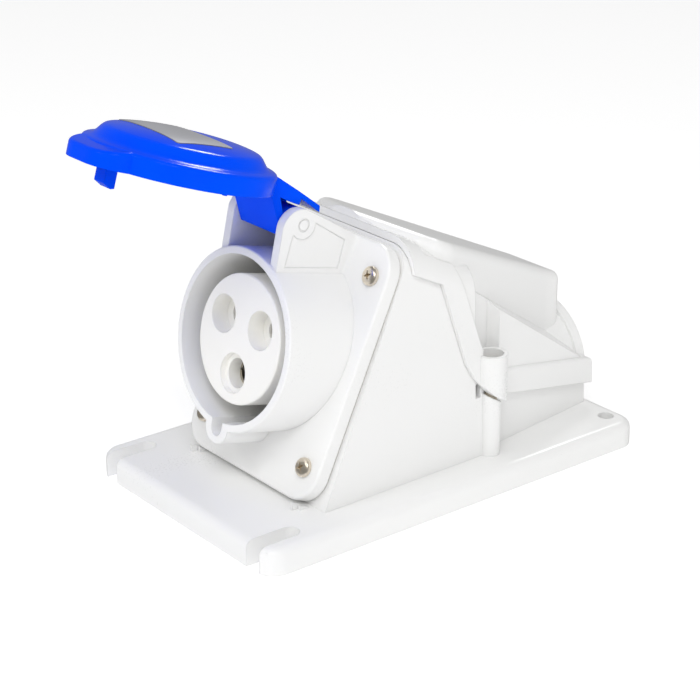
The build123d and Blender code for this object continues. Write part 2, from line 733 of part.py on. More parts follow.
def socket_housing():
    """Flange, shroud, keyway, hinge ears and stop web in one moulding."""
    body = flange() + shroud() + keyway_boss()
    body += ears() - cylinder_on(RIM, 0, 0, SHROUD_BORE_R + 0.5, -SHROUD_DEPTH, 10)
    body += stop_web()
    body -= cylinder_on(RIM, 0, 0, SHROUD_BORE_R, -SHROUD_DEPTH + 2.4, 5)
    body -= cylinder_on(RIM, 0, 0, SHROUD_BORE_R - 4.2, -SHROUD_DEPTH - 1, 0)
    body -= keyway_cut()
    body -= flange_pilots(FLANGE_SCREW_R + 0.2, -20, 20)
    body -= pin_bore()
    return fillet(ear_feet(body), EAR_FOOT_R)


def flange_gasket():
    """Flat gasket between the flange and the case's front wall."""
    v_mid = (FLANGE_V0 + FLANGE_V1) / 2
    outline = Pos(0, v_mid) * RectangleRounded(FLANGE_W - 1.2, FLANGE_V1 - FLANGE_V0 - 1.2, FLANGE_CORNER_R - 0.6)
    body = extrude(FRONT * Pos(0, 0, -FLANGE_T - GASKET_T) * outline, GASKET_T)
    body -= cylinder_on(RIM, 0, 0, SHROUD_REAR_R + 0.2, -SHROUD_DEPTH, 10)
    return body - flange_pilots(FLANGE_SCREW_R + 0.2, -20, 20)


def pin_spot(angle):
    """Place of a contact on the pin circle."""
    return PIN_CIRCLE_R * cos(radians(angle)), PIN_CIRCLE_R * sin(radians(angle))


LIVE_SPOTS = {"line": pin_spot(30), "neutral": pin_spot(150)}
EARTH_SPOT = pin_spot(270)


def contact_insert():
    """Round insert with two countersunk holes and a wider earth hole."""
    body = cylinder_on(RIM, 0, 0, INSERT_R, -INSERT_BACK - INSERT_LEN, -INSERT_BACK)
    body = fillet(body.edges().filter_by(GeomType.CIRCLE), 0.5)
    face = -INSERT_BACK
    rear = -INSERT_BACK - INSERT_LEN
    for x, y in LIVE_SPOTS.values():
        body -= cylinder_on(RIM, x, y, LIVE_MOUTH_R, face - LIVE_MOUTH_DEPTH, face + 1)
        body -= cylinder_on(RIM, x, y, LIVE_HOLE_R, rear - 1, face)
        body -= cylinder_on(RIM, x, y, LIVE_SLEEVE_R, rear - 1, face - SLEEVE_SEAT)
    x, y = EARTH_SPOT
    body -= cylinder_on(RIM, x, y, EARTH_MOUTH_R, face - EARTH_MOUTH_DEPTH, face + 1)
    body -= cylinder_on(RIM, x, y, EARTH_HOLE_R, rear - 1, face)
    body -= cylinder_on(RIM, x, y, EARTH_SLEEVE_R, rear - 1, face - SLEEVE_SEAT + 3)
    body -= carrier_screw_holes(CARRIER_SCREW_R + THREAD_GAP, rear - 1, rear + 9)
    return body


def carrier_screw_holes(r, z0, z1):
    """Two holes for the screws that hold the insert to its carrier."""
    hole = cylinder_on(RIM, 13.6, -6.4, r, z0, z1)
    return mirrored(hole)


def terminal_carrier():
    """Round carrier behind the insert that seats in the shroud's tube and passes the sleeves."""
    z1 = -INSERT_BACK - INSERT_LEN
    body = cylinder_on(RIM, 0, 0, SHROUD_BORE_R - 0.05, z1 - CARRIER_T, z1)
    for x, y in LIVE_SPOTS.values():
        body -= cylinder_on(RIM, x, y, LIVE_SLEEVE_R, z1 - 20, z1 + 1)
    body -= cylinder_on(RIM, *EARTH_SPOT, EARTH_SLEEVE_R, z1 - 20, z1 + 1)
    body -= carrier_screw_holes(CARRIER_SCREW_R + 0.2, z1 - 20, z1 + 1)
    return body


def sleeve(spot, r, bore, seat):
    """A contact sleeve: a split tube with a closed rear end."""
    x, y = spot
    z1 = -INSERT_BACK - seat
    body = cylinder_on(RIM, x, y, r, z1 - SLEEVE_LEN, z1)
    body -= cylinder_on(RIM, x, y, bore, z1 - SLEEVE_LEN + 6.0, z1 + 1)
    body -= RIM * Pos(x, y, z1 - 5.0) * Box(2 * r + 1, 0.7, 10.2)
    return body


def clamp(spot, r, seat):
    """Terminal block on a sleeve's rear end, with a cross hole for the wire."""
    x, y = spot
    z1 = -INSERT_BACK - seat - SLEEVE_LEN
    wide = 2 * r + 1.4
    body = RIM * Pos(x, y, z1 - 4.0) * Box(wide, wide, 8.0)
    body -= RIM * Pos(x, y, z1 - 4.4) * Rot(0, 90, 0) * Cylinder(1.9, wide + 2)
    body -= RIM * Pos(x, y, z1 - 4.4) * Pos(0, -wide / 2, 0) * Rot(90, 0, 0) * Cylinder(1.5, wide)
    return body


def clamp_screws():
    """Three short screws that press the wires."""
    screws = []
    for x, y, r, seat in clamp_places():
        wide = 2 * r + 1.4
        z = -INSERT_BACK - seat - SLEEVE_LEN - 4.4
        shank = RIM * Pos(x, y - wide / 2 + 0.4, z) * Rot(90, 0, 0) * Cylinder(1.5, 2.8)
        head = RIM * Pos(x, y - wide / 2 - 1.5, z) * Rot(90, 0, 0) * Cylinder(2.3, 1.6)
        slot = RIM * Pos(x, y - wide / 2 - 2.2, z) * Box(5, 0.5, 0.7)
        screws.append(head + shank - slot)
    return Compound(children=screws)


def clamp_places():
    """Position, sleeve radius and seat depth of each terminal."""
    live = [(*spot, LIVE_SLEEVE_R, SLEEVE_SEAT) for spot in LIVE_SPOTS.values()]
    return live + [(*EARTH_SPOT, EARTH_SLEEVE_R, SLEEVE_SEAT - 3)]


def carrier_screws():
    """Two screws from the carrier's rear into the insert."""
    z1 = -INSERT_BACK - INSERT_LEN - CARRIER_T
    screws = []
    for side in (1, -1):
        shank = cylinder_on(RIM, side * 13.6, -6.4, CARRIER_SCREW_R, z1 - 0.1, z1 + 13)
        head = cylinder_on(RIM, side * 13.6, -6.4, CARRIER_HEAD_R, z1 - 1.8, z1)
        slot = RIM * Pos(side * 13.6, -6.4, z1 - 1.6) * Box(6, 0.6, 0.8)
        screws.append(shank + head - slot)
    return Compound(children=screws)


def pan_screw(r, length, head_r, head_h):
    """Pan head screw with a cross recess, head seat at z = 0, shank downward."""
    low = (Align.CENTER, Align.CENTER, Align.MIN)
    head = Cylinder(head_r, head_h, align=low)
    head = fillet(head.edges().group_by(Axis.Z)[-1], head_h * 0.6)
    shank = Pos(0, 0, -length) * Cylinder(r, length, align=low)
    shank = chamfer(shank.edges().group_by(Axis.Z)[0], r * 0.5)
    depth = head_h * 0.75
    cross = Box(CROSS_L, CROSS_W, depth, align=low) + Box(CROSS_W, CROSS_L, depth, align=low)
    return head + shank - Pos(0, 0, head_h - depth + 0.01) * cross


def flange_screws():
    """Four pan head screws through the flange's corners."""
    screw = pan_screw(FLANGE_SCREW_R, FLANGE_SCREW_LEN, FLANGE_HEAD_R, FLANGE_HEAD_H)
    places = [(x, v) for v in FLANGE_SCREW_V for x in (-FLANGE_SCREW_X, FLANGE_SCREW_X)]
    return Compound(children=[FRONT * Pos(x, v, 0) * Rot(0, 0, 20 + 31 * i) * screw for i, (x, v) in enumerate(places)])


def cover_screws():
    """Two long pan head screws deep in the cover's bosses."""
    screw = pan_screw(COVER_SCREW_R, COVER_SCREW_LEN, COVER_HEAD_R, COVER_HEAD_H)
    return Compound(children=[Pos(x, COLUMN_Y, BOSS_SEAT_Z) * screw for x in (-COLUMN_X, COLUMN_X)])


def hinge_pin():
    """Steel pin, driven in from the left ear through the lid's knuckle to the closed end in the right ear."""
    left, right = -(EAR_IN + EAR_T) + PIN_END, EAR_IN + EAR_T - PIN_SKIN - PIN_END
    pin = SIDE * Pos(HINGE_Y, HINGE_Z, (left + right) / 2) * Cylinder(PIN_R, right - left)
    return chamfer(pin.edges().filter_by(GeomType.CIRCLE), 0.25)


def lobe_outline(shrink):
    """Plan of the tongue that covers the keyway boss."""
    length = LOBE_REACH - LID_CENTRE - shrink
    half = LOBE_HALF - shrink
    body = Pos(0, LID_CENTRE + length / 2) * Rectangle(2 * half, length)
    tip = body.vertices().group_by(Axis.Y)[-1]
    return fillet(tip, LOBE_R - shrink)


def dome_profile(low):
    """Half section of the lid's outside from height low: rolled edge, hollow curve, round shoulder, crown."""
    edges = [
        Line((0, low), (LID_R, low)),
        Line((LID_R, low), (LID_R, LID_EDGE_H)),
        Spline((LID_R, LID_EDGE_H), (DOME_R, LID_LEDGE), tangents=((0, 1), (-1, 0.25))),
        Spline((DOME_R, LID_LEDGE), (DOME_SHOULDER_R, DOME_SHOULDER), tangents=((-1, 0.25), (-1, 0.28))),
        Spline((DOME_SHOULDER_R, DOME_SHOULDER), (0, DOME_TOP), tangents=((-1, 0.28), (-1, 0))),
        Line((0, DOME_TOP), (0, low)),
    ]
    return make_face(Wire(edges))


def dome(low=LID_RIM):
    """Round lid as a solid: wall, rolled edge and domed top."""
    solid = revolve(Plane.XZ * dome_profile(low), Axis.Z)
    return LID * Pos(0, LID_CENTRE, 0) * solid


def lobe():
    """Tongue whose top rises from the tip towards the dome, with a softened edge."""
    body = extrude(LID * Pos(0, 0, LID_RIM) * lobe_outline(0.0), LOBE_TOP + 8 - LID_RIM)
    tip = LID * Pos(0, LOBE_REACH, LOBE_TOP)
    top = Plane(origin=tip.position, x_dir=LID.x_dir, z_dir=LID.z_dir + LOBE_SLOPE * LID.y_dir)
    body -= slab(top, BIG, 0, BIG)
    edges = [e for e in body.edges() if abs((e @ 0.5 - top.origin).dot(top.z_dir)) < 0.02]
    outside = [e for e in edges if (e @ 0.5 - LID.origin).dot(LID.y_dir) > LID_CENTRE + 1]
    return fillet(outside, LOBE_EDGE_R)


def lid_shell():
    """Round lid with its lobe, hollow towards the rim."""
    body = dome() + lobe()
    roof = LID_LEDGE - LID_WALL
    body -= cylinder_on(LID, 0, LID_CENTRE, LID_R - LID_WALL, LID_RIM - 1, LID_EDGE_H - LID_WALL / 2)
    body -= cylinder_on(LID, 0, LID_CENTRE, DOME_R - LID_WALL, LID_RIM, roof)
    body -= cylinder_on(LID, 0, LID_CENTRE, DOME_SHOULDER_R - LID_WALL, LID_RIM, DOME_SHOULDER - 1.9)
    hollow = extrude(LID * Pos(0, 0, LID_RIM - 1) * lobe_outline(LID_WALL), LOBE_TOP - LID_WALL - LID_RIM + 1)
    return body - hollow


def bracket_side(points, half):
    """A side outline in the lid's frame (reach, height) drawn out across the lid."""
    plane = Plane(origin=LID.origin, x_dir=LID.y_dir, z_dir=LID.y_dir.cross(LID.z_dir))
    return extrude(plane * make_face(Polyline(*points, close=True)), half, both=True)


def hinge_bracket():
    """Top bar with a thin tail, sloping front panel, inner ribs and the knuckle round the pin."""
    bar = [(13.5, 13.3), (11.1, 12.3), (1.6, 8.8), (-6.9, 5.4), (-7.2, 3.6), (-5.9, 4.1), (0.1, 6.7)]
    bar += [(0.5, 4.9), (4.0, 5.5), (11.4, 7.4), (13.5, 9.4)]
    body = bracket_side(bar, BRACKET_HALF)
    panel = [(12.6, 9.6), (4.2, -4.4), (2.6, -3.6), (9.2, 9.6)]
    body += bracket_side(panel, BRACKET_HALF)
    body += bracket_side([(0.5, 6.4), (-1.6, 3.0), (3.0, 0.0), (8.4, 6.6)], BRACKET_RIB)
    knuckle = SIDE * Pos(HINGE_Y, HINGE_Z, 0) * Cylinder(KNUCKLE_R, 2 * BRACKET_HALF)
    body += knuckle
    body -= SIDE * Pos(HINGE_Y, HINGE_Z, 0) * Cylinder(PIN_R + PIN_FIT, 60)
    return body


def shut_room():
    """Room for the shroud's rim inside the bracket when the lid is shut."""
    return cylinder_on(LID, 0, LID_CENTRE, SHROUD_R + SHUT_GAP, -20.0, HINGE_BACK + SHUT_GAP)


def latch_tooth():
    """Tooth under the lid's tip that holds a plug in place."""
    r0, r1 = TOOTH_REACH
    pts = [(r0, LID_LEDGE - LID_WALL + 0.3), (r0, TOOTH_TIP + 0.2), (r0 + 1.2, TOOTH_TIP)]
    pts += [(r1, TOOTH_TIP + 1.3), (r1, LOBE_TOP - LID_WALL + 0.3)]
    return bracket_side(pts, TOOTH_HALF)


def lid():
    """The blue lid in one moulding."""
    body = lid_shell()
    inside = cylinder_on(LID, 0, LID_CENTRE, LID_R - LID_WALL, LID_RIM - 1, LID_LEDGE - LID_WALL)
    body += hinge_bracket() - inside - shut_room()
    body += latch_tooth() + rim_nubs()
    return body


def rim_nubs():
    """Two small rests under the lid's rim that come down on the shroud's rim."""
    z0 = HINGE_BACK + NUB_GAP
    return mirrored(cylinder_on(LID, NUB_X, NUB_REACH, NUB_R, z0, LID_RIM + 0.5))


def label():
    """Thin plain label that follows the dome."""
    high = extrude(LID * Pos(0, LABEL_REACH, LID_LEDGE) * RectangleRounded(LABEL_W, LABEL_H, 1.0), 12)
    skin = dome()
    lifted = Pos(*(LID.z_dir * LABEL_T)) * skin
    return (lifted & high) - skin


def lid_seal():
    """Soft ring in the lid that meets the shroud's rim."""
    z1 = LID_EDGE_H - LID_WALL / 2
    body = cylinder_on(LID, 0, LID_CENTRE, LID_R - LID_WALL - 0.05, SEAL_FACE, z1)
    return body - cylinder_on(LID, 0, LID_CENTRE, SEAL_BORE, SEAL_FACE - 1, z1 + 1) - tooth_room(z1 + 1)


def tooth_room(top):
    """Room round the latch tooth, which stands clear of the seal as it is."""
    r0, r1 = TOOTH_REACH[0] - TOOTH_ROOM, TOOTH_REACH[1] + TOOTH_ROOM
    return bracket_side([(r0, 0.0), (r1, 0.0), (r1, top), (r0, top)], TOOTH_HALF + TOOTH_ROOM)


NODES = {
    "base_housing": base_housing,
    "wiring_cover": wiring_cover,
    "cover_gasket": cover_gasket,
    "cover_screws": cover_screws,
    "socket_housing": socket_housing,
    "flange_gasket": flange_gasket,
    "flange_screws": flange_screws,
    "contact_insert": contact_insert,
    "terminal_carrier": terminal_carrier,
    "carrier_screws": carrier_screws,
    "sleeve_line": lambda: sleeve(LIVE_SPOTS["line"], LIVE_SLEEVE_R, LIVE_SLEEVE_BORE, SLEEVE_SEAT),
    "sleeve_neutral": lambda: sleeve(LIVE_SPOTS["neutral"], LIVE_SLEEVE_R, LIVE_SLEEVE_BORE, SLEEVE_SEAT),
    "sleeve_earth": lambda: sleeve(EARTH_SPOT, EARTH_SLEEVE_R, EARTH_SLEEVE_BORE, SLEEVE_SEAT - 3),
    "clamp_line": lambda: clamp(LIVE_SPOTS["line"], LIVE_SLEEVE_R, SLEEVE_SEAT),
    "clamp_neutral": lambda: clamp(LIVE_SPOTS["neutral"], LIVE_SLEEVE_R, SLEEVE_SEAT),
    "clamp_earth": lambda: clamp(EARTH_SPOT, EARTH_SLEEVE_R, SLEEVE_SEAT - 3),
    "clamp_screws": clamp_screws,
    "lid": lid,
    "lid_label": label,
    "lid_seal": lid_seal,
    "hinge_pin": hinge_pin,
}


def main():
    os.makedirs("parts", exist_ok=True)
    for name, make in NODES.items():
        export_step(make(), f"parts/{name}.step")


if __name__ == "__main__":
    main()
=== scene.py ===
"""The industrial wall socket: glossy white housing, blue lid and plated screws in a soft, pale studio."""

import logging
import math
from dataclasses import dataclass
from enum import Enum
from typing import Any, Iterable, Sequence

import bpy
from mathutils import Matrix, Vector

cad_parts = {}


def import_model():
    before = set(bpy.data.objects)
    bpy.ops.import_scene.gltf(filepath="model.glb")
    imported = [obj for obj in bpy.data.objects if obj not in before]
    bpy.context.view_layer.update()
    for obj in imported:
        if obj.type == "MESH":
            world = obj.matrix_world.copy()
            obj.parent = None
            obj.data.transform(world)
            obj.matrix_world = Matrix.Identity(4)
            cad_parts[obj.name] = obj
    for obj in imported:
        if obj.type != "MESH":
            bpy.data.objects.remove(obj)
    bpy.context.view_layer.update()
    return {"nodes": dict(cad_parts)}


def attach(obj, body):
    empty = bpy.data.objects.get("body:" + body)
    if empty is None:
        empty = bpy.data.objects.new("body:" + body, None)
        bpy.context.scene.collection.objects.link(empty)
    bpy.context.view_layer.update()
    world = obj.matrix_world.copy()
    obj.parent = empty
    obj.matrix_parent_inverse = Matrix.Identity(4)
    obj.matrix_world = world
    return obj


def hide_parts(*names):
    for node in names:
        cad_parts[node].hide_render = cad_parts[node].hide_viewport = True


LOG = logging.getLogger("wall_socket")
MM = 0.001


class Tint(Enum):
    """Colours of the finishes, as sRGB hex."""

    HOUSING = "F3F3F2"
    INSERT = "F8F7F2"
    CARRIER = "4A4A48"
    LID = "0052FF"
    LID_DEEP = "004AFA"
    LID_GLOSS = "9CCBFF"
    GASKET = "3A3B3C"
    GASKET_PALE = "D8D7D2"
    NICKEL = "E6DCCB"
    STEEL = "B9B8B5"
    CONTACT = "C9C2B4"
    FOIL = "96979C"
    FLOOR = "FAFAFA"


def linear(tint: Tint) -> tuple[float, float, float, float]:
    """Turns an sRGB hex colour to linear RGBA.

    Args:
        tint: The colour.

    Returns:
        Red, green, blue and alpha, linear.
    """
    parts = [int(tint.value[i : i + 2], 16) / 255 for i in (0, 2, 4)]
    return (*[c / 12.92 if c <= 0.04045 else ((c + 0.055) / 1.055) ** 2.4 for c in parts], 1.0)


def add_node(
    tree: bpy.types.NodeTree, kind: str, settings: dict[str, Any] | None = None, **links: Any
) -> Any:
    """Adds a node with its settings and links.

    Args:
        tree: The tree that gets the node.
        kind: The node's type name.
        settings: Node properties by name, and input values by "in:" and the input's name or number.
        links: Input name, with spaces as underscores, or n and its number, to the output that feeds it.

    Returns:
        The node.
    """
    made = tree.nodes.new(kind)
    for key, value in (settings or {}).items():
        if key.startswith("in:"):
            name = key[3:]
            made.inputs[int(name) if name.isdigit() else name].default_value = value
        else:
            setattr(made, key, value)
    for key, source in links.items():
        name = key.replace("_", " ")
        target = made.inputs[int(name[1:])] if name[0] == "n" and name[1:].isdigit() else made.inputs[name]
        tree.links.new(source, target)
    return made


@dataclass(frozen=True)
class Finish:
    """A finish: one Principled surface with fine grain, faint waviness and softened edges.

    Attributes:
        grain_mm: Size of the grain, in millimetres.
        grain: Strength of the grain's relief.
        wave_mm: Size of the slow waviness, in millimetres.
        wave: Strength of the waviness.
        tone: How much darker the colour gets along the waviness, where no deep colour is given.
        edge_mm: Radius of the softened edges, in millimetres.
        drift: How far the roughness moves either way, as a share of itself.
        shine: Level of the surface's own reflection, 0.5 being that of its IOR.
        deep: The deeper colour that the waviness mixes in.
        gloss: Tint of what the surface mirrors.
    """

    name: str
    tint: Tint
    roughness: float = 0.3
    metallic: float = 0.0
    ior: float | None = 1.5
    grain_mm: float = 0.6
    grain: float = 0.02
    wave_mm: float = 30.0
    wave: float = 0.02
    tone: float = 0.02
    edge_mm: float = 0.4
    shine: float = 0.5
    deep: Tint | None = None
    gloss: Tint | None = None
    wave_height_mm: float = 0.4
    grain_height_mm: float = 0.05
    mix_span: tuple[float, float] = (0.35, 0.65)
    grain_octaves: float = 3.0
    wave_octaves: float = 1.0
    noise_fade: float = 0.55
    edge_samples: int = 4
    drift: float = 0.12
    drift_span: tuple[float, float] = (0.6, 1.4)

    def material(self) -> bpy.types.Material:
        """Builds the node material.

        Returns:
            The material, made once for each finish.
        """
        if self.name in bpy.data.materials:
            return bpy.data.materials[self.name]
        made = bpy.data.materials.new(self.name)
        made.use_nodes = True
        tree = made.node_tree
        tree.nodes.clear()
        place = add_node(tree, "ShaderNodeTexCoord").outputs["Object"]
        grain = self.noise(tree, place, self.grain_mm, self.grain_octaves)
        wave = self.noise(tree, place, self.wave_mm, self.wave_octaves)
        surface = self.surface(tree)
        self.link_colour(tree, surface, wave)
        self.link_roughness(tree, surface, grain, wave)
        edge = add_node(tree, "ShaderNodeBevel", {"samples": self.edge_samples, "in:Radius": self.edge_mm * MM})
        low = add_node(
            tree, "ShaderNodeBump", {"in:Strength": self.wave, "in:Distance": self.wave_height_mm * MM},
            Height=wave, Normal=edge.outputs[0],
        )
        fine = add_node(
            tree, "ShaderNodeBump", {"in:Strength": self.grain, "in:Distance": self.grain_height_mm * MM},
            Height=grain, Normal=low.outputs[0],
        )
        tree.links.new(fine.outputs[0], surface.inputs["Normal"])
        add_node(tree, "ShaderNodeOutputMaterial", None, Surface=surface.outputs[0])
        return made

    def noise(self, tree: bpy.types.NodeTree, place: Any, size_mm: float, detail: float) -> Any:
        """Noise whose features are about size_mm across.

        Args:
            tree: The material's tree.
            place: Coordinates in metres.
            size_mm: The size of a feature.
            detail: The noise's octaves.

        Returns:
            The noise's height output.
        """
        settings = {"in:Scale": 1 / (size_mm * MM), "in:Detail": detail, "in:Roughness": self.noise_fade}
        return add_node(tree, "ShaderNodeTexNoise", settings, Vector=place).outputs[0]

    def surface(self, tree: bpy.types.NodeTree) -> Any:
        """The Principled shader with this finish's constants on its sockets.

        Args:
            tree: The material's tree.

        Returns:
            The shader node.
        """
        settings = {
            "in:Metallic": self.metallic,
            "in:Specular IOR Level": self.shine,
            "in:Specular Tint": linear(self.gloss) if self.gloss else (1.0, 1.0, 1.0, 1.0),
        }
        if self.ior is not None and not self.metallic:
            settings["in:IOR"] = self.ior
        return add_node(tree, "ShaderNodeBsdfPrincipled", settings)

    def link_colour(self, tree: bpy.types.NodeTree, surface: Any, wave: Any) -> None:
        """Mixes the colour with a slightly deeper one over the waviness.

        Args:
            tree: The material's tree.
            surface: The Principled shader.
            wave: The slow noise.
        """
        base = linear(self.tint)
        deep = linear(self.deep) if self.deep else tuple(c * (1 - self.tone) for c in base[:3]) + (1.0,)
        ramp = add_node(tree, "ShaderNodeValToRGB", None, Fac=wave)
        for stop, place, colour in zip(ramp.color_ramp.elements, self.mix_span, (deep, base)):
            stop.position, stop.color = place, colour
        tree.links.new(ramp.outputs["Color"], surface.inputs["Base Color"])

    def link_roughness(self, tree: bpy.types.NodeTree, surface: Any, grain: Any, wave: Any) -> None:
        """Lets the roughness drift a little with both noises.

        Args:
            tree: The material's tree.
            surface: The Principled shader.
            grain: The fine noise.
            wave: The slow noise.
        """
        both = add_node(tree, "ShaderNodeMath", {"operation": "ADD"}, n0=grain, n1=wave)
        spread = self.drift * self.roughness
        settings = {"in:From Min": self.drift_span[0], "in:From Max": self.drift_span[1]}
        settings |= {"in:To Min": self.roughness - spread, "in:To Max": self.roughness + spread}
        drift = add_node(tree, "ShaderNodeMapRange", settings, Value=both.outputs[0])
        tree.links.new(drift.outputs[0], surface.inputs["Roughness"])


# Injection moulded polyamide from a polished tool: bright and even, with soft highlights.
HOUSING = Finish(
    "moulded_polyamide_white", Tint.HOUSING, 0.3, ior=1.5, grain=0.004, wave_mm=30, wave=0.004, tone=0.006,
    edge_mm=0.45, shine=0.35,
)
# The insert's harder moulding: slightly warmer and duller than the housing.
INSERT = Finish(
    "moulded_insert_warm_white", Tint.INSERT, 0.4, ior=1.5, grain=0.006, wave_mm=20, wave=0.004, tone=0.01,
    edge_mm=0.35, shine=0.3,
)
# Moulded phenolic of the carrier: dark and dull, deep in the shroud.
CARRIER = Finish("moulded_phenolic_dark", Tint.CARRIER, 0.55, ior=1.5, grain=0.02, edge_mm=0.3)
# Moulded polyamide in deep, even blue. IOR and shine are below polyamide's, so that the sky pales it less.
LID = Finish(
    "moulded_polyamide_blue", Tint.LID, 0.16, ior=1.2, grain=0.003, wave_mm=26, wave=0.006, edge_mm=0.45,
    shine=0.35, deep=Tint.LID_DEEP, gloss=Tint.LID_GLOSS,
)
# Moulded rubber of the lid's seal and the cover's gasket: dark and dull.
RUBBER = Finish("moulded_rubber_dark", Tint.GASKET, 0.75, ior=1.5, grain=0.1, edge_mm=0.15)
# Moulded pale rubber behind the flange: matt, close to the housing in tone.
PALE_RUBBER = Finish("moulded_rubber_pale", Tint.GASKET_PALE, 0.7, ior=1.5, grain=0.05, edge_mm=0.1)
# Nickel plated steel of the screws: bright and faintly warm.
NICKEL = Finish(
    "nickel_plated_steel", Tint.NICKEL, 0.3, metallic=1.0, grain_mm=0.25, grain=0.03, wave_mm=3, wave=0.02,
    edge_mm=0.1,
)
# Drawn steel of the hinge pin: grey, with a soft metal gloss.
STEEL = Finish("drawn_steel", Tint.STEEL, 0.35, metallic=1.0, grain_mm=0.3, grain=0.06, edge_mm=0.15)
# Turned brass of the contacts under a nickel plating: pale, warm metal.
CONTACT = Finish(
    "nickel_plated_brass", Tint.CONTACT, 0.3, metallic=1.0, grain_mm=0.3, grain=0.04, edge_mm=0.12,
)
# Metallised foil glued on the dome: plain grey with a satin sheen.
FOIL = Finish(
    "metallised_foil_grey", Tint.FOIL, 0.42, metallic=0.35, grain_mm=0.4, grain=0.03, edge_mm=0.1, tone=0.05,
)


@dataclass
class Dresser:
    """Gives CAD nodes their finishes."""

    nodes: dict[str, bpy.types.Object]

    def dress(self, finish: Finish, names: Iterable[str]) -> None:
        """Puts one finish on the named nodes.

        Args:
            finish: The finish.
            names: The nodes.
        """
        for name in names:
            piece = self.nodes[name]
            piece.data.materials.clear()
            piece.data.materials.append(finish.material())
            LOG.info("dressed %s in %s", name, finish.name)


@dataclass
class Housing:
    """The moulded housing: plate and wedge, wiring cover, flange with shroud and ears."""

    dresser: Dresser
    white: Sequence[str] = ("base_housing", "wiring_cover", "socket_housing")

    def build(self) -> None:
        """Dresses the white mouldings and their seals."""
        self.dresser.dress(HOUSING, self.white)
        self.dresser.dress(RUBBER, ["cover_gasket"])
        self.dresser.dress(PALE_RUBBER, ["flange_gasket"])


@dataclass
class Contacts:
    """The insert, its carrier and the plated contacts."""

    dresser: Dresser
    sleeves: Sequence[str] = (
        "sleeve_line", "sleeve_neutral", "sleeve_earth", "clamp_line", "clamp_neutral", "clamp_earth",
    )
    screws: Sequence[str] = ("clamp_screws", "carrier_screws")

    def build(self) -> None:
        """Dresses the insert, its carrier, the contacts and the small screws."""
        self.dresser.dress(INSERT, ["contact_insert"])
        self.dresser.dress(CARRIER, ["terminal_carrier"])
        self.dresser.dress(CONTACT, self.sleeves)
        self.dresser.dress(NICKEL, self.screws)


@dataclass
class Lid:
    """The blue lid with its label, seal and pin."""

    dresser: Dresser

    def build(self) -> None:
        """Dresses the lid's pieces."""
        self.dresser.dress(LID, ["lid"])
        self.dresser.dress(FOIL, ["lid_label"])
        self.dresser.dress(RUBBER, ["lid_seal"])
        self.dresser.dress(STEEL, ["hinge_pin"])


class Recess(Enum):
    """Names of the screw tree's inputs."""

    WIDTH = "Recess width"
    REACH = "Recess reach"
    DEPTH = "Recess depth"
    CORE = "Recess core"
    HEAD = "Head height"


@dataclass(frozen=True)
class ScrewSize:
    """One size of pan head screw, in millimetres.

    Attributes:
        recess_core: The recess's reach at its floor, as a share of its reach at the top.
        tip: The shank's taper: its radius at the tip as a share of the shank's, and its height.
        rim: The chamfer under the head's edge, across and up.
        crown: The domed part of the head, as a share of the head's height.
        swell: How full the dome is; 1 is an ellipse, and less is fuller.
    """

    head_r: float
    head_h: float
    shank_r: float
    length: float
    recess_w: float = 0.6
    recess_reach: float = 1.85
    recess_depth: float = 1.4
    recess_core: float = 0.35
    tip: tuple[float, float] = (0.55, 1.2)
    rim: tuple[float, float] = (0.12, 0.14)
    crown: float = 0.55
    swell: float = 0.62
    steps: int = 9
    sides: int = 56

    def profile(self) -> list[tuple[float, float]]:
        """The screw's half section as (radius, height) from the shank's tip up to the crown.

        Returns:
            Points in millimetres, the head's seat at height 0.
        """
        taper, taper_h = self.tip
        across, up = self.rim
        rows = [(0.0, -self.length), (self.shank_r * taper, -self.length)]
        rows += [(self.shank_r, -self.length + taper_h), (self.shank_r, 0.0)]
        rows += [(self.head_r - across, 0.0), (self.head_r, up)]
        wall = self.head_h * (1 - self.crown)
        for step in range(self.steps + 1):
            turn = math.pi / 2 * step / self.steps
            height = wall + (self.head_h - wall) * math.sin(turn)
            rows.append((self.head_r * math.cos(turn) ** self.swell, height))
        return rows[:-1] + [(0.0, self.head_h)]

    def blank(self, name: str) -> bpy.types.Object:
        """A turned screw without its recess, seat at the origin, head along +Z.

        Args:
            name: The mesh's and the object's name.

        Returns:
            The helper object, linked to the scene.
        """
        rows = self.profile()
        points, faces, ring = [], [], self.sides
        for radius, height in rows[1:-1]:
            for side in range(ring):
                turn = 2 * math.pi * side / ring
                points.append((radius * math.cos(turn) * MM, radius * math.sin(turn) * MM, height * MM))
        count = len(rows) - 2
        for row in range(count - 1):
            for side in range(ring):
                after = (side + 1) % ring
                low, high = row * ring, (row + 1) * ring
                faces.append((low + side, low + after, high + after, high + side))
        faces.append(tuple(reversed(range(ring))))
        faces.append(tuple(range((count - 1) * ring, count * ring)))
        mesh = bpy.data.meshes.new(name)
        mesh.from_pydata(points, [], faces)
        made = bpy.data.objects.new(name, mesh)
        bpy.context.scene.collection.objects.link(made)
        return made


@dataclass(frozen=True)
class ScrewSpot:
    """Where one screw sits: the head's seat in millimetres, the way its head faces, its turn in degrees."""

    seat: tuple[float, float, float]
    faces: tuple[float, float, float]
    turn: float


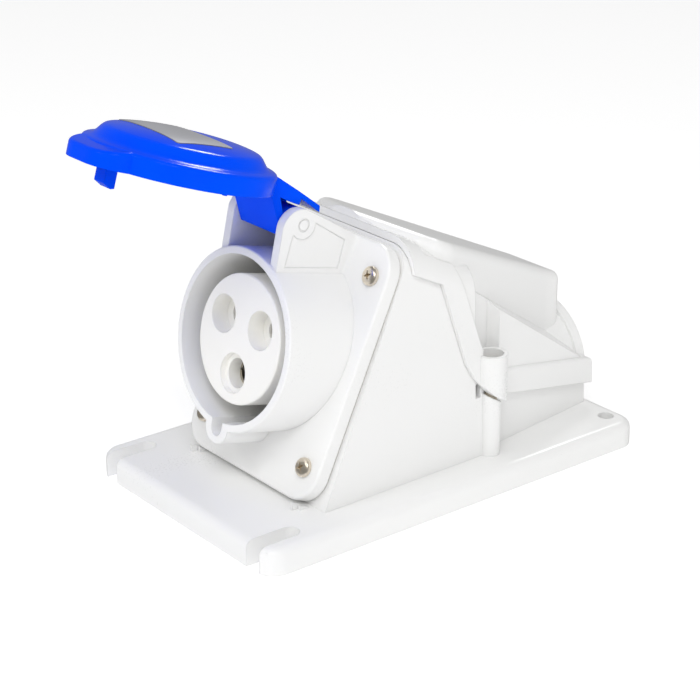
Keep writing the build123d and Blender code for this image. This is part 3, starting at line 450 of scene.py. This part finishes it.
@dataclass
class Fasteners:
    """The plated screws in the flange and in the cover's bosses, with pressed cross recesses."""

    dresser: Dresser
    tilt: float = 25.04
    foot_y: float = -49.4
    foot_z: float = 7.8
    flange_x: float = 24.4
    flange_rows: tuple[float, float] = (12.1, 69.1)
    flange_turns: tuple[float, ...] = (64.0, 38.0, 12.0, 27.0)
    boss: tuple[float, float, float] = (32.3, 18.8, 32.0)
    boss_turns: tuple[float, float] = (20.0, 61.0)
    flange_size: ScrewSize = ScrewSize(2.8, 1.9, 2.0, 14.0)
    cover_size: ScrewSize = ScrewSize(3.1, 2.4, 1.9, 22.0, recess_depth=1.8)
    cutter_stretch: float = 1.15

    def flange_spots(self) -> list[ScrewSpot]:
        """The four screws of the flange.

        Returns:
            Their spots, on the flange's tilted face.
        """
        lean = math.radians(self.tilt)
        normal = (0.0, -math.cos(lean), math.sin(lean))
        places = [(x, v) for v in self.flange_rows for x in (-self.flange_x, self.flange_x)]
        return [
            ScrewSpot((x, self.foot_y + v * math.sin(lean), self.foot_z + v * math.cos(lean)), normal, turn)
            for (x, v), turn in zip(places, self.flange_turns)
        ]

    def cover_spots(self) -> list[ScrewSpot]:
        """The two screws down in the cover's bosses.

        Returns:
            Their spots, with the heads facing away from the wall.
        """
        x, y, z = self.boss
        up = (0.0, 0.0, 1.0)
        return [ScrewSpot((side * x, y, z), up, turn) for side, turn in zip((-1, 1), self.boss_turns)]

    def spots_object(self, name: str, spots: Sequence[ScrewSpot]) -> bpy.types.Object:
        """A cloud of points that carries each screw's direction and turn.

        Args:
            name: The object's name.
            spots: The screws' spots.

        Returns:
            The object, linked to the scene.
        """
        mesh = bpy.data.meshes.new(name)
        mesh.from_pydata([tuple(c * MM for c in spot.seat) for spot in spots], [], [])
        mesh.attributes.new("faces", "FLOAT_VECTOR", "POINT")
        mesh.attributes.new("turn", "FLOAT", "POINT")
        for index, spot in enumerate(spots):
            mesh.attributes["faces"].data[index].vector = spot.faces
            mesh.attributes["turn"].data[index].value = math.radians(spot.turn)
        made = bpy.data.objects.new(name, mesh)
        bpy.context.scene.collection.objects.link(made)
        return made

    def tree(self) -> bpy.types.NodeTree:
        """The node tree that cuts a tapered cross into the blank and sets one screw on each point.

        Returns:
            The tree, with its sizes as named inputs.
        """
        tree = bpy.data.node_groups.new("pan_head_screws", "GeometryNodeTree")
        face = tree.interface
        face.new_socket("Geometry", in_out="INPUT", socket_type="NodeSocketGeometry")
        face.new_socket("Blank", in_out="INPUT", socket_type="NodeSocketObject")
        for item in Recess:
            face.new_socket(item.value, in_out="INPUT", socket_type="NodeSocketFloat")
        face.new_socket("Finish", in_out="INPUT", socket_type="NodeSocketMaterial")
        face.new_socket("Geometry", in_out="OUTPUT", socket_type="NodeSocketGeometry")
        given = add_node(tree, "NodeGroupInput").outputs
        place = {"transform_space": "ORIGINAL"}
        blank = add_node(tree, "GeometryNodeObjectInfo", place, Object=given["Blank"])
        cutter = self.cutter(tree, given)
        how = {"operation": "DIFFERENCE", "solver": "EXACT", "in:Self Intersection": True}
        cut = add_node(tree, "GeometryNodeMeshBoolean", how)
        tree.links.new(blank.outputs["Geometry"], cut.inputs["Mesh 1"])
        tree.links.new(cutter, cut.inputs["Mesh 2"])
        way = self.read(tree, "FLOAT_VECTOR", "faces")
        turn = self.read(tree, "FLOAT", "turn")
        spin = add_node(tree, "FunctionNodeAxisAngleToRotation", {"in:Axis": (0, 0, 1)}, Angle=turn)
        stand = add_node(tree, "FunctionNodeAlignRotationToVector", {"axis": "Z"}, Vector=way)
        both = add_node(
            tree, "FunctionNodeRotateRotation", {"rotation_space": "LOCAL"},
            Rotation=stand.outputs[0], Rotate_By=spin.outputs[0],
        )
        set_on = add_node(
            tree, "GeometryNodeInstanceOnPoints", None,
            Points=given["Geometry"], Instance=cut.outputs["Mesh"], Rotation=both.outputs[0],
        )
        real = add_node(tree, "GeometryNodeRealizeInstances", None, Geometry=set_on.outputs[0])
        plated = add_node(
            tree, "GeometryNodeSetMaterial", None, Geometry=real.outputs[0], Material=given["Finish"]
        )
        out = add_node(tree, "NodeGroupOutput")
        tree.links.new(plated.outputs[0], out.inputs[0])
        return tree

    def read(self, tree: bpy.types.NodeTree, kind: str, name: str) -> Any:
        """A named attribute's output socket.

        Args:
            tree: The tree.
            kind: The attribute's data type.
            name: The attribute's name.

        Returns:
            The socket that gives its values.
        """
        settings = {"data_type": kind, "in:Name": name}
        return add_node(tree, "GeometryNodeInputNamedAttribute", settings).outputs[0]

    def cutter(self, tree: bpy.types.NodeTree, given: Any) -> Any:
        """Two crossed flat wedges that narrow towards the recess's floor and end just above the head.

        Args:
            tree: The tree.
            given: The group input's sockets.

        Returns:
            The joined cutters' socket.
        """
        depth, width, reach = (given[item.value] for item in (Recess.DEPTH, Recess.WIDTH, Recess.REACH))
        head = given[Recess.HEAD.value]
        low = add_node(tree, "ShaderNodeMath", {"operation": "SUBTRACT"}, n0=head, n1=depth)
        foot = add_node(tree, "ShaderNodeCombineXYZ", None, Z=low.outputs[0])
        join = add_node(tree, "GeometryNodeJoinGeometry")
        for turn in (0.0, math.pi / 2):
            wing = add_node(
                tree, "GeometryNodeMeshCone", {"in:Vertices": 4, "fill_type": "NGON"},
                Radius_Top=reach, Radius_Bottom=given[Recess.CORE.value], Depth=depth,
            )
            thin = add_node(tree, "ShaderNodeMath", {"operation": "DIVIDE"}, n0=width, n1=reach)
            settings = {"in:X": 1.0, "in:Z": self.cutter_stretch}
            scale = add_node(tree, "ShaderNodeCombineXYZ", settings, Y=thin.outputs[0])
            placed = add_node(
                tree, "GeometryNodeTransform", {"in:Rotation": (0.0, 0.0, turn)},
                Geometry=wing.outputs["Mesh"], Translation=foot.outputs[0], Scale=scale.outputs[0],
            )
            tree.links.new(placed.outputs[0], join.inputs[0])
        return join.outputs[0]

    def screws(self, name: str, size: ScrewSize, spots: Sequence[ScrewSpot]) -> bpy.types.Object:
        """Makes one row of screws as a plain mesh.

        Args:
            name: The piece's name.
            size: The screws' size.
            spots: Where they sit.

        Returns:
            The finished piece at the origin.
        """
        points = self.spots_object(name + "_spots", spots)
        blank = size.blank(name + "_blank")
        tree = bpy.data.node_groups.get("pan_head_screws") or self.tree()
        maker = points.modifiers.new("screws", "NODES")
        maker.node_group = tree
        given = [item for item in tree.interface.items_tree if item.in_out == "INPUT"]
        sockets = {item.name: item.identifier for item in given}
        maker[sockets["Blank"]] = blank
        sizes = {
            Recess.WIDTH: size.recess_w,
            Recess.REACH: size.recess_reach,
            Recess.DEPTH: size.recess_depth,
            Recess.CORE: size.recess_reach * size.recess_core,
            Recess.HEAD: size.head_h,
        }
        for item, value in sizes.items():
            maker[sockets[item.value]] = value * MM
        maker[sockets["Finish"]] = NICKEL.material()
        ready = points.evaluated_get(bpy.context.evaluated_depsgraph_get())
        mesh = bpy.data.meshes.new_from_object(ready)
        mesh.name = name
        points.modifiers.remove(maker)
        bpy.data.objects.remove(points)
        bpy.data.objects.remove(blank)
        made = bpy.data.objects.new(name, mesh)
        bpy.context.scene.collection.objects.link(made)
        LOG.info("made %s: %d faces", name, len(mesh.polygons))
        return made

    def build(self) -> None:
        """Makes both rows of screws in place of the plain ones."""
        rows = (
            ("flange_screw_set", "flange_screws", self.flange_size, self.flange_spots()),
            ("cover_screw_set", "cover_screws", self.cover_size, self.cover_spots()),
        )
        for name, node, size, spots in rows:
            piece = self.screws(name, size, spots)
            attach(piece, "housing")
            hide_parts(node)


@dataclass(frozen=True)
class Lamp:
    """One soft square light: place and aim in metres, side in metres, power in watts.

    Attributes:
        mirrored: If glossy surfaces mirror it.
        spreads: If it lights matt surfaces, and not the glossy ones alone.
    """

    name: str
    place: tuple[float, float, float]
    size: float
    power: float
    aim: tuple[float, float, float] = (0.0, 0.0, 0.05)
    mirrored: bool = True
    spreads: bool = True


@dataclass
class Studio:
    """Pale floor, white surroundings, soft lights and the camera at the photograph's angle.

    Attributes:
        eye: The camera's place, in metres.
        back: The way from the socket to the camera.
        right: The camera's way to its right.
        glow: The surroundings' light on matt surfaces.
        mirrored: The surroundings' light where glossy surfaces mirror them.
        backdrop: The surroundings as the camera sees them.
        floor_glow: The floor's own light, which keeps it white under the socket.
    """

    eye: tuple[float, float, float] = (0.42313, -0.34373, 0.25837)
    back: tuple[float, float, float] = (0.72557, -0.57461, 0.37865)
    right: tuple[float, float, float] = (0.62148, 0.78343, -0.00201)
    lens_mm: float = 101.02
    glow: float = 0.59
    mirrored: float = 0.25
    backdrop: float = 1.0
    floor_glow: float = 0.28
    floor_half: float = 3.0
    sensor_mm: float = 36.0
    clip: tuple[float, float] = (0.01, 20.0)
    lamps: tuple[Lamp, ...] = (
        Lamp("key", (0.55, -0.5, 0.85), 0.4, 3.7),
        Lamp("fill", (-0.1, -0.8, 0.85), 0.35, 1.4),
        Lamp("side", (0.95, -0.3, 0.22), 0.5, 0.25),
        Lamp("rear", (0.3, 0.6, 0.9), 0.5, 0.35, mirrored=False),
        Lamp("glint", (-0.357, 0.514, 0.675), 0.2, 6.0, spreads=False),
    )

    def build(self) -> None:
        """Builds floor, lights, world and camera."""
        for lamp in self.lamps:
            self.area(lamp)
        self.floor()
        self.world()
        self.camera()

    def floor(self) -> None:
        """A wide, plain, nearly white floor under the wall plate."""
        half = self.floor_half
        mesh = bpy.data.meshes.new("floor")
        corners = [(-half, -half, 0), (half, -half, 0), (half, half, 0), (-half, half, 0)]
        mesh.from_pydata(corners, [], [(0, 1, 2, 3)])
        made = bpy.data.objects.new("floor", mesh)
        made.data.materials.append(self.paper())
        bpy.context.scene.collection.objects.link(made)
        made.visible_glossy = False

    def paper(self) -> bpy.types.Material:
        """White backdrop paper, with a little light of its own so that it reads as white.

        Returns:
            The floor's material.
        """
        made = bpy.data.materials.new("backdrop_paper_white")
        made.use_nodes = True
        tree = made.node_tree
        tree.nodes.clear()
        white = linear(Tint.FLOOR)
        settings = {"in:Base Color": white, "in:Roughness": 0.9, "in:Specular IOR Level": 0.0}
        settings |= {"in:Emission Color": white, "in:Emission Strength": self.floor_glow}
        surface = add_node(tree, "ShaderNodeBsdfPrincipled", settings)
        add_node(tree, "ShaderNodeOutputMaterial", None, Surface=surface.outputs[0])
        return made

    def area(self, lamp: Lamp) -> None:
        """Adds one soft square light.

        Args:
            lamp: The light's facts.
        """
        data = bpy.data.lights.new(lamp.name, "AREA")
        data.shape, data.size, data.energy = "SQUARE", lamp.size, lamp.power
        made = bpy.data.objects.new(lamp.name, data)
        made.location = lamp.place
        made.visible_glossy = lamp.mirrored
        made.visible_diffuse = lamp.spreads
        made.rotation_mode = "QUATERNION"
        made.rotation_quaternion = (Vector(lamp.aim) - Vector(lamp.place)).to_track_quat("-Z", "Y")
        bpy.context.scene.collection.objects.link(made)

    def world(self) -> None:
        """Plain white behind the socket, an even glow on it, and a dimmer sky for what it mirrors."""
        world = bpy.data.worlds.new("studio")
        bpy.context.scene.world = world
        world.use_nodes = True
        tree = world.node_tree
        tree.nodes.clear()
        levels = [
            add_node(tree, "ShaderNodeBackground", {"in:Color": (1, 1, 1, 1), "in:Strength": strength})
            for strength in (self.glow, self.mirrored, self.backdrop)
        ]
        ray = add_node(tree, "ShaderNodeLightPath")
        glossy = add_node(tree, "ShaderNodeMixShader", None, Fac=ray.outputs["Is Glossy Ray"])
        seen = add_node(tree, "ShaderNodeMixShader", None, Fac=ray.outputs["Is Camera Ray"])
        tree.links.new(levels[0].outputs[0], glossy.inputs[1])
        tree.links.new(levels[1].outputs[0], glossy.inputs[2])
        tree.links.new(glossy.outputs[0], seen.inputs[1])
        tree.links.new(levels[2].outputs[0], seen.inputs[2])
        add_node(tree, "ShaderNodeOutputWorld", None, Surface=seen.outputs[0])

    def camera(self) -> None:
        """The camera at the photograph's place, upright, with no depth of field."""
        data = bpy.data.cameras.new("camera")
        data.sensor_width, data.lens = self.sensor_mm, self.lens_mm
        data.clip_start, data.clip_end = self.clip
        data.dof.use_dof = False
        camera = bpy.data.objects.new("camera", data)
        back, right = Vector(self.back).normalized(), Vector(self.right).normalized()
        up = back.cross(right)
        turn = Matrix((right, up, back)).transposed().to_4x4()
        camera.matrix_world = Matrix.Translation(self.eye) @ turn
        bpy.context.scene.collection.objects.link(camera)
        bpy.context.scene.camera = camera


def main() -> None:
    """Loads the frame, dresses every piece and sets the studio."""
    logging.basicConfig(level=logging.INFO, format="%(name)s: %(message)s")
    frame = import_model()
    dresser = Dresser(frame["nodes"])
    for assembly in (Housing(dresser), Contacts(dresser), Lid(dresser), Fasteners(dresser), Studio()):
        LOG.info("building %s", type(assembly).__name__)
        assembly.build()
    bpy.context.scene.view_settings.view_transform = "Standard"


if __name__ == "__main__":
    main()
